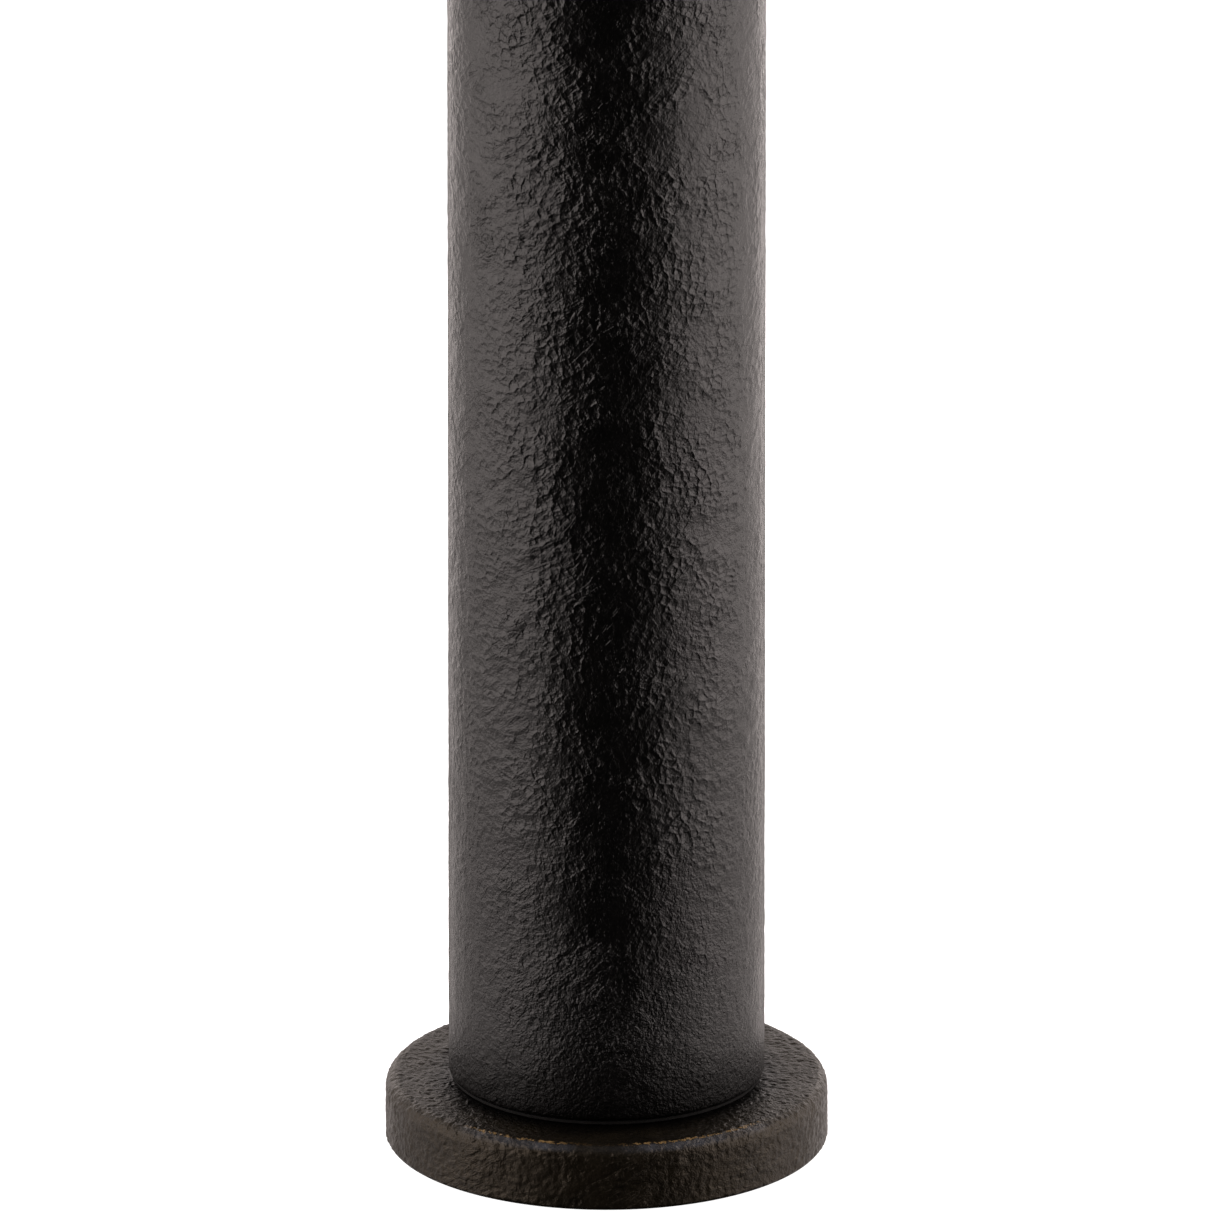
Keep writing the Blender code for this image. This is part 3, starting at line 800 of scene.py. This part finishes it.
def make_base_pad(rubber):
    low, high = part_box("base_pad")
    mesh = turned_mesh("base_pad", eased(outline_of("base_pad"), PAD_EASE), FITTING_SEGMENTS)
    holes = []
    for node in nodes_named("deck_bush"):
        foot, top, radius = upright_hole(node, low.z - HOLE_OVERRUN, high.z + HOLE_OVERRUN)
        holes.append((foot, top, radius - HOLE_GAP - PAD_HOLE_INSET))
    add_piece("base_pad_fine", drilled(mesh, holes), "base_pad", rubber)


def make_o_ring(rubber):
    low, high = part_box("cap_o_ring")
    section = (high.z - low.z) / 2
    r, z = high.x - section, (low.z + high.z) / 2
    turns = [2 * math.pi * i / SECTION_SEGMENTS for i in range(SECTION_SEGMENTS)]
    outline = [(r + section * math.cos(a), z + section * math.sin(a)) for a in turns]
    add_piece("cap_o_ring_fine", turned_mesh("o_ring", outline, O_RING_SEGMENTS), "cap_o_ring", rubber)


def make_tie_rod(steel):
    """The rod, with a thread at each end."""
    low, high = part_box("tie_rod")
    radius = high.x
    ends = (low.z + ROD_END_CHAMFER, high.z - ROD_END_CHAMFER)
    runs = [(ends[0], ends[0] + THREAD_LENGTH), (ends[1] - THREAD_LENGTH, ends[1])]
    steps = round(THREAD_LENGTH / THREAD_PITCH * THREAD_STEPS)
    side = [(radius, a + (b - a) * i / steps) for a, b in runs for i in range(steps + 1)]
    tip = radius - ROD_END_CHAMFER
    outline = [(0.0, low.z), (tip, low.z), *side, (tip, high.z), (0.0, high.z)]

    def depth(place, r, z):
        """The V groove of the thread, which runs out along the rod."""
        if r < radius:
            return 0.0
        turn = math.atan2(place.y, place.x) / (2 * math.pi)
        phase = (z / THREAD_PITCH - turn) % 1.0
        inner = min(abs(z - runs[0][1]), abs(z - runs[1][0]))
        return THREAD_DEPTH * abs(2 * phase - 1) * fade(inner, 0, THREAD_RUNOUT)

    add_piece("tie_rod_fine", turned_mesh("tie_rod", outline, THREAD_SEGMENTS, depth), "tie_rod", steel)


def dress_solids(finishes):
    """Gives the solids that stay their finish."""
    for part in frame["record"]["subparts"]:
        finish = finishes.get(part["material_slot"])
        if finish:
            mesh = frame["nodes"][part["node"]].data
            mesh.materials.clear()
            mesh.materials.append(finish)


def add_area_light(name, place, target, size, radiance, tint):
    light = bpy.data.lights.new(name, "AREA")
    light.shape = "RECTANGLE"
    light.size, light.size_y = size
    light.energy = radiance * math.pi * size[0] * size[1]
    light.color = tint
    lamp = bpy.data.objects.new(name, light)
    lamp.location = place
    lamp.rotation_euler = (Vector(target) - Vector(place)).to_track_quat("-Z", "Y").to_euler()
    lamp.visible_camera = False
    bpy.context.scene.collection.objects.link(lamp)


def add_softbox(name, azimuth_deg, width_deg, foot, top, radiance):
    """A tall soft light that stands round the post at an azimuth from the camera."""
    width = 2 * SOFTBOX_DISTANCE * math.tan(math.radians(width_deg / 2))
    azimuth = math.radians(azimuth_deg)
    middle = Vector((0, 0, (foot + top) / 2))
    place = middle + Vector((math.sin(azimuth), -math.cos(azimuth), 0)) * SOFTBOX_DISTANCE
    add_area_light(name, place, middle, (width, top - foot), radiance, LIGHT_TINT)


def add_light():
    world = bpy.data.worlds.new("studio")
    world.use_nodes = True
    background = world.node_tree.nodes["Background"]
    background.inputs["Color"].default_value = (1, 1, 1, 1)
    background.inputs["Strength"].default_value = WORLD_STRENGTH
    bpy.context.scene.world = world
    for name, azimuth, width, upper, lower in SOFTBOXES:
        add_softbox(name, azimuth, width, SOFTBOX_BEND, SOFTBOX_TOP, upper)
        add_softbox(f"{name}_low", azimuth, width, SOFTBOX_FOOT, SOFTBOX_BEND, lower)
    add_softbox(*BACK_SOFTBOX)
    place, target = (0, 0, TOP_LIGHT_HEIGHT), (0, 0, 0)
    size = (TOP_LIGHT_SIDE, TOP_LIGHT_SIDE)
    add_area_light("top_softbox", place, target, size, TOP_LIGHT_RADIANCE, TOP_LIGHT_TINT)
    bpy.context.scene.view_settings.view_transform = "Standard"


def add_floor():
    """A pale floor that lies under the object, and shows in nothing but the camera."""
    mesh = bpy.data.meshes.new("floor")
    corners = [(x, y, 0) for x, y in ((-1, -1), (1, -1), (1, 1), (-1, 1))]
    mesh.from_pydata([Vector(corner) * FLOOR_HALF for corner in corners], [], [(0, 1, 2, 3)])
    material, _, shader = shader_nodes("pale_floor")
    shader.inputs["Base Color"].default_value = (*grey(FLOOR_GREY), 1)
    shader.inputs["Roughness"].default_value = FLOOR_ROUGHNESS
    shader.inputs["Specular IOR Level"].default_value = FLOOR_SPECULAR
    shader.inputs["Emission Color"].default_value = (1, 1, 1, 1)
    shader.inputs["Emission Strength"].default_value = FLOOR_GLOW
    mesh.materials.append(material)
    floor = bpy.data.objects.new("floor", mesh)
    bpy.context.scene.collection.objects.link(floor)
    floor.visible_glossy = False
    floor.visible_diffuse = False
    floor.visible_shadow = False


def add_camera():
    """Looks at the axis from the photograph's elevation, from so far off that sides stay parallel."""
    low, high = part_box("base_flange")
    pixels_per_metre = BASE_WIDTH_PIXELS / (high.x - low.x)
    distance = CAMERA_LENS_MM / CAMERA_SENSOR_MM * PHOTO_PIXELS / pixels_per_metre
    elevation = math.radians(CAMERA_ELEVATION_DEG)
    right = (PHOTO_PIXELS / 2 - FOOT_CENTRE_PIXEL[0]) / pixels_per_metre
    up = (FOOT_CENTRE_PIXEL[1] - PHOTO_PIXELS / 2) / pixels_per_metre / math.cos(elevation)
    data = bpy.data.cameras.new("camera")
    data.lens = CAMERA_LENS_MM
    data.sensor_width = CAMERA_SENSOR_MM
    data.clip_start = CAMERA_NEAR
    data.clip_end = CAMERA_FAR
    camera = bpy.data.objects.new("camera", data)
    back = Vector((0, -math.cos(elevation), math.sin(elevation)))
    camera.location = Vector((right, 0, up)) + back * distance
    camera.rotation_euler = (-back).to_track_quat("-Z", "Y").to_euler()
    bpy.context.scene.collection.objects.link(camera)
    bpy.context.scene.camera = camera


post_iron, base_iron = make_post_iron(), make_base_iron()
zinc_steel, stainless_steel = make_zinc_steel(), make_stainless_steel()
black_rubber = make_black_rubber()

noise.seed_set(SKIN_SEED)
make_post_skin(post_iron)
make_base_skin(base_iron)
make_cap_skin(post_iron)
make_tie_rod(zinc_steel)
for fitting in ("clamp_plate", "upper_washer", "lower_washer"):
    make_fitting(fitting, zinc_steel)
make_base_pad(black_rubber)
make_o_ring(black_rubber)
dress_solids({
    "zinc_plated_steel": zinc_steel,
    "stainless_steel": stainless_steel,
    "black_rubber": black_rubber,
})

add_floor()
add_light()
add_camera()
